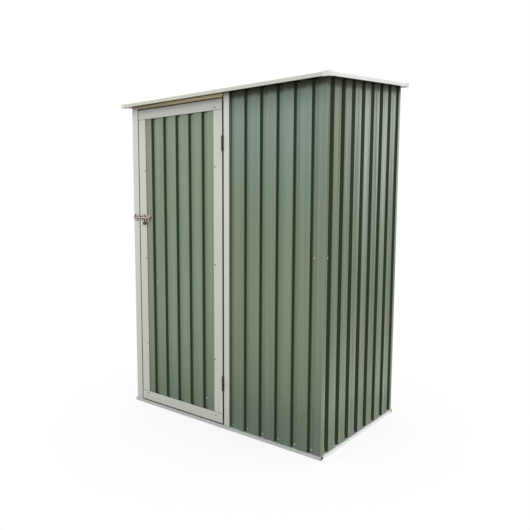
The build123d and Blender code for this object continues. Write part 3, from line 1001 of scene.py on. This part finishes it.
def plate_places(node, shares):
    """Fixings on a latch plate's face, at shares of its length and height."""
    low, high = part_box(node)
    face = high.y - PLATE_METAL
    return [
        (Vector((low.x + (high.x - low.x) * across, face, low.z + (high.z - low.z) * up)), FRONT)
        for across, up in shares
    ]


def leaf_places(node, facing):
    """Three fixings up each of the two leaves that one node holds, on the side that they face."""
    points = corners(node)
    split = middle(node).z
    outer = max(-facing.x * point.x for point in points)
    places = []
    for leaf in ([p for p in points if p.z < split], [p for p in points if p.z > split]):
        low = min(point.z for point in leaf)
        high = max(point.z for point in leaf)
        depth = max(point.y for point in leaf) - LEAF_SCREW_INSET
        for share in LEAF_SCREW_SHARES:
            spot = Vector((-facing.x * (outer - LEAF_METAL), depth, low + share * (high - low)))
            places.append((spot, facing))
    return places


def seen_share(graph):
    """1 for rays from the camera, and for those that mirror or pass through something."""
    return sum(graph.node("ShaderNodeLightPath", kind) for kind in SEEN_RAYS).ramp(0.0, 1.0)


def beyond_footprint(graph, edge):
    """1 on the floor outside the shed's base, fading to nothing within an edge under the walls."""
    low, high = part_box("base_rail_front")[0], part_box("base_rail_back")[1]
    outside = []
    for axis, start, end in ((RIGHT, low.x, high.x), (BACK, low.y, high.y)):
        away = abs(graph.dot(graph.place(), axis) - (start + end) / 2)
        outside.append(away.ramp((end - start) / 2 - edge, (end - start) / 2))
    return sum(outside).ramp(0.0, 1.0)


def lay_floor(context, studio):
    """Pale floor that keeps the shed's shadow and fades to white away from it."""
    half = studio.floor_side / 2
    rim = [(-half, -half, 0), (half, -half, 0), (half, half, 0), (-half, half, 0)]
    mesh = bpy.data.meshes.new("floor")
    mesh.from_pydata(rim, [], [(0, 1, 2, 3)])
    floor = bpy.data.objects.new("floor", mesh)
    context.scene.collection.objects.link(floor)
    graph, made = material("studio_floor")
    distance = graph.node("ShaderNodeVectorMath", "Value", {0: graph.place()}, operation="LENGTH")
    seen = seen_share(graph)
    glow = FLOOR_GLOW + distance.ramp(studio.floor_fade, studio.floor_white) * (1 - FLOOR_GLOW)
    glow = glow * beyond_footprint(graph, studio.footprint_edge)
    tone = graph.mix(seen, linear(studio.floor_bounce), linear(studio.floor))
    matt = graph.node("ShaderNodeBsdfDiffuse", "BSDF", {"Color": tone})
    white = graph.node("ShaderNodeEmission", "Emission", {"Color": WHITE, "Strength": 1.0})
    surface = graph.node("ShaderNodeMixShader", "Shader", {0: glow * seen, 1: matt, 2: white})
    graph.node("ShaderNodeOutputMaterial", None, {"Surface": surface})
    mesh.materials.append(made)


def light_studio(context, studio):
    """Even light from all round against white, and a large soft lamp at the right and before the door."""
    world = bpy.data.worlds.new("studio")
    context.scene.world = world
    world.use_nodes = True
    graph = Graph(world.node_tree)
    sky = {"Color": linear(studio.sky), "Strength": studio.sky_strength}
    light = graph.node("ShaderNodeBackground", "Background", sky)
    white = graph.node("ShaderNodeBackground", "Background", {"Color": WHITE, "Strength": 1.0})
    surface = graph.node("ShaderNodeMixShader", "Shader", {0: seen_share(graph), 1: light, 2: white})
    graph.node("ShaderNodeOutputWorld", None, {"Surface": surface})
    lamps = (("key", studio.key_watts, studio.key_place), ("fill", studio.fill_watts, studio.fill_place))
    for name, watts, place in lamps:
        lamp = bpy.data.lights.new(name, "AREA")
        lamp.energy = watts
        lamp.size = studio.lamp_side
        stood = bpy.data.objects.new(name, lamp)
        context.scene.collection.objects.link(stood)
        stood.location = place
        aim = (cad_box[0] + cad_box[1]) / 2 - stood.location
        stood.rotation_euler = aim.to_track_quat("-Z", "Y").to_euler()


def stand_camera(context, studio):
    """Camera at the photograph's place, heading, tilt, roll and angle of view."""
    heading, tilt = studio.camera_heading, studio.camera_tilt
    level = Vector((-math.sin(heading), math.cos(heading), 0.0))
    ahead = level * math.cos(tilt) - UP * math.sin(tilt)
    right = Matrix.Rotation(-studio.camera_roll, 3, ahead) @ level.cross(UP)
    up = right.cross(ahead)
    data = bpy.data.cameras.new("camera")
    data.lens = studio.lens
    data.sensor_width = FILM_WIDTH
    camera = bpy.data.objects.new("camera", data)
    context.scene.collection.objects.link(camera)
    turned = Matrix((right, up, -ahead)).transposed().to_4x4()
    camera.matrix_world = Matrix.Translation(studio.camera_place) @ turned
    context.scene.camera = camera


class TOOLSHED_OT_sheets(bpy.types.Operator):
    """Paint the ribbed sheets of the walls, the door and the roof"""

    bl_idname = "toolshed.sheets"
    bl_label = "Paint Sheets"

    def execute(self, context):
        shed = shed_settings(context)
        paint = shed.paint
        front = (paint.front_lower, paint.front_middle, paint.front_upper)
        door = (paint.door_lower, paint.door_middle, paint.door_upper)
        side = (paint.side_lower, paint.side_middle, paint.side_upper)
        lit = Edge(RIGHT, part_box("door_post_hinge")[1].x, paint.corner_light, share=0.4)
        # Painted shade along the door panel's edges
        shaded_panel_edges = (
            Edge(RIGHT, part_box("door_stile_latch")[1].x, paint.panel_edge_shade, PANEL_EDGE_SHADE_SHARE),
            Edge(-UP, -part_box("door_rail_top")[0].z, paint.panel_edge_shade, PANEL_EDGE_SHADE_SHARE),
        )
        looks = {
            "door": SheetLook(
                door, paint.backing, FRONT_FLOOR_SHARES, streaking=0.08, glint=0.2,
                eave_reach=paint.front_gloom, darkened_edges=shaded_panel_edges,
            ),
            "front": SheetLook(
                front, paint.backing, FRONT_FLOOR_SHARES, streaking=0.12, glint=0.3,
                eave_reach=paint.front_gloom, lit_edges=(lit,),
            ),
            "roof": SheetLook(front, paint.roof_underside_shade, FRONT_FLOOR_SHARES, streaking=0.12, glint=0.6),
            "side": SheetLook(
                side, paint.backing, SIDE_FLOOR_SHARES, streaking=1.2, glint=0.4, painted_sheen=0.4,
                eave_reach=paint.side_gloom,
            ),
        }
        for node, sheet in SHEETS.items():
            dress([node], ribbed_paint(node, paint, shed.fixings.sheet, looks[sheet.look]))
        return {"FINISHED"}


class TOOLSHED_OT_frames(bpy.types.Operator):
    """Paint the posts, the header and the door's frame"""

    bl_idname = "toolshed.frames"
    bl_label = "Paint Door Frame and Posts"

    def execute(self, context):
        paint = shed_settings(context).paint
        # The returns that face the door's gaps get painted shade
        sides = (LEFT, RIGHT)
        dirt_and_shade = paint.cream_shade_and_dirt
        butts = [Edge(UP, corner.z, paint.seam, share=1.0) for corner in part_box("door_stile_hinge")]
        header_left, header_right = (corner.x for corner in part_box("door_header"))
        header_ends = (
            Edge(RIGHT, header_left, paint.header_shade, share=0.3),
            Edge(LEFT, -header_right, paint.header_seam, share=0.9),
        )
        dress(DOOR_FRAME_NODES, cream_paint(
            "door_frame_cream", paint.frame_upper, paint.frame_lower, dirt_and_shade, sides, butts,
            gloom=paint.frame_gloom,
        ))
        dress(POST_NODES, cream_paint(
            "post_cream", paint.post_upper, paint.post_lower, dirt_and_shade, sides, gloom=paint.post_gloom
        ))
        # The header's cream carries painted warm light, and painted shade at its left end
        dress(["door_header"], cream_paint(
            "header_cream_painted_warm_light", paint.header, paint.header, dirt_and_shade, darkened_edges=header_ends
        ))
        return {"FINISHED"}


class TOOLSHED_OT_roof_edge(bpy.types.Operator):
    """Paint the roof's trim and give the corner caps their plastic"""

    bl_idname = "toolshed.roof_edge"
    bl_label = "Finish Roof Edge"

    def execute(self, context):
        paint = shed_settings(context).paint
        trims = (
            ("long_trim_cream", LONG_TRIM_NODES, paint.trim),
            ("side_trim_cream_painted_light", SIDE_TRIM_NODES, paint.side_trim_painted_light),
        )
        # Each trim gets painted shade on its underside
        for name, nodes, tone in trims:
            dress(nodes, cream_paint(name, tone, tone, paint.underside, (-ROOF,), gloss=1.0))
        dress(CAP_NODES, cap_plastic(paint.cap, paint.underside))
        return {"FINISHED"}


class TOOLSHED_OT_steelwork(bpy.types.Operator):
    """Give the base, the inner frame, the hinges and the latch their bare metal"""

    bl_idname = "toolshed.steelwork"
    bl_label = "Finish Steelwork"

    def execute(self, context):
        paint = shed_settings(context).paint
        zinc = (paint.zinc_light, paint.zinc_dark)
        lit_zinc = (paint.lit_zinc_light, paint.lit_zinc_dark)
        dress(INNER_NODES, galvanised_steel("galvanised_steel", *zinc))
        # Painted shade on the front face of the front base rail
        dress(["base_rail_front"], galvanised_steel("front_base_zinc", *zinc, face_shade=0.2))
        # Painted light: a lighter zinc on the other base rails
        dress(LIT_BASE_NODES, galvanised_steel("lit_base_zinc_painted_light", *lit_zinc))
        tarnish_and_shade_tone = paint.latch_tarnish_and_shade
        handle_top = middle("latch_plate").z - HANDLE_DROP
        dress(HINGE_NODES, plated_metal(
            "hinge_steel", paint.hinge, tarnish_and_shade_tone, dull_share=0.3, roughness=0.4
        ))
        dress(LATCH_NODES, plated_metal(
            "latch_plating", paint.latch, tarnish_and_shade_tone, dull_share=0.6, roughness=0.3, flank_shade=0.7
        ))
        dress(["latch_bolt"], plated_metal(
            "bolt_plating", paint.latch, tarnish_and_shade_tone, dull_share=0.5, roughness=0.3, flank_shade=0.7,
            dark_below=handle_top,
        ))
        return {"FINISHED"}


class TOOLSHED_OT_screws(bpy.types.Operator):
    """Set the screws, washers and latch fixings on what they hold"""

    bl_idname = "toolshed.screws"
    bl_label = "Set Screws"

    def execute(self, context):
        shed = shed_settings(context)
        paint, sizes = shed.paint, shed.fixings
        screws = fixing_tree("Screw Heads", screw_head)
        washers = fixing_tree("Washers", washer_dish)
        steel = plated_metal("screw_zinc", paint.screw, paint.washer, dull_share=0.4, roughness=0.34)
        dull = plated_metal("door_screw_zinc", paint.stile_screw, paint.hinge, dull_share=0.4, roughness=0.4)
        # Painted shade: darker screws and washers under the eaves
        eave_shaded_zinc = plated_metal("eave_screw_painted_shade", paint.eave_screw_shade, paint.hinge, dull_share=0.4, roughness=0.5)
        rubber = washer_rubber("washer_rubber", paint.washer)
        eave_shaded_rubber = washer_rubber("eave_washer_painted_shade", paint.eave_screw_shade)
        plating = bpy.data.materials["latch_plating"]
        dark = bpy.data.materials["hinge_steel"]
        head = {"Radius": sizes.head_radius, "Height": sizes.head_height, "Seed": sizes.seed}
        washer = {"Radius": sizes.washer_radius, "Height": sizes.washer_height, "Seed": sizes.seed}
        rivet = {"Radius": sizes.rivet_radius, "Height": sizes.rivet_height, "Seed": sizes.seed}
        walls, eaves = wall_places(sizes)
        sealed = (
            ("wall", walls, steel, rubber, "shed"),
            ("eave", eaves, eave_shaded_zinc, eave_shaded_rubber, "shed"),
            ("roof", roof_places(sizes), steel, rubber, "shed"),
            ("door_panel", door_panel_places(sizes), steel, rubber, "door"),
        )
        for name, places, metal, seal, body in sealed:
            lifted = [(place + facing * sizes.washer_height, facing) for place, facing in places]
            spread(name + "_washers", places, washers, {**washer, "Material": seal}, body)
            spread(name + "_screws", lifted, screws, {**head, "Material": metal}, body)
        latch = plate_places("latch_plate", PLATE_SCREW_SHARES)
        keeper = plate_places("latch_keeper", KEEPER_SCREW_SHARES)
        post_leaves = leaf_places("hinge_post_leaves", LEFT)
        door_leaves = leaf_places("hinge_door_leaves", RIGHT)
        bare = (
            ("trim_screws", trim_places(sizes), head, steel, "shed", "galvanised"),
            ("post_screws", post_places(sizes), head, steel, "shed", "galvanised"),
            ("door_frame_screws", door_frame_places(sizes), head, dull, "door", "galvanised"),
            ("latch_rivets", latch, rivet, plating, "door", "latch_zinc"),
            ("keeper_rivets", keeper, rivet, plating, "shed", "latch_zinc"),
            ("post_hinge_screws", post_leaves, rivet, dark, "shed", "hinge_steel"),
            ("door_hinge_screws", door_leaves, rivet, dark, "door", "hinge_steel"),
        )
        for name, places, size, metal, body, slot in bare:
            spread(name, places, screws, {**size, "Material": metal}, body)
        return {"FINISHED"}


class TOOLSHED_OT_studio(bpy.types.Operator):
    """Lay the floor, light the shed softly and stand the camera where the photograph was taken"""

    bl_idname = "toolshed.studio"
    bl_label = "Set Up Studio"

    def execute(self, context):
        studio = shed_settings(context).studio
        lay_floor(context, studio)
        light_studio(context, studio)
        stand_camera(context, studio)
        context.scene.view_settings.view_transform = "Standard"
        return {"FINISHED"}


OPERATORS = (
    TOOLSHED_OT_sheets,
    TOOLSHED_OT_frames,
    TOOLSHED_OT_roof_edge,
    TOOLSHED_OT_steelwork,
    TOOLSHED_OT_screws,
    TOOLSHED_OT_studio,
)


class TOOLSHED_PT_panel(bpy.types.Panel):
    """The shed's steps and settings"""

    bl_idname = "TOOLSHED_PT_panel"
    bl_label = "Tool Shed"
    bl_space_type = "VIEW_3D"
    bl_region_type = "UI"
    bl_category = "Tool Shed"

    def draw(self, context):
        shed = shed_settings(context)
        for operator in OPERATORS:
            self.layout.operator(operator.bl_idname)
        for group in (shed.paint, shed.fixings, shed.studio):
            box = self.layout.box()
            for name in group.__annotations__:
                box.prop(group, name)


CLASSES = (ShedPaint, ShedFixings, ShedStudio, ShedSettings, *OPERATORS, TOOLSHED_PT_panel)


def register():
    """Add the classes and the scene's settings."""
    for item in CLASSES:
        bpy.utils.register_class(item)
    bpy.types.Scene.tool_shed = PointerProperty(type=ShedSettings)


def unregister():
    """Take the settings and the classes away again."""
    del bpy.types.Scene.tool_shed
    for item in reversed(CLASSES):
        bpy.utils.unregister_class(item)


def main():
    """Dress the frame step by step."""
    register()
    for operator in OPERATORS:
        family, name = operator.bl_idname.split(".")
        getattr(getattr(bpy.ops, family), name)()


if __name__ == "__main__":
    main()
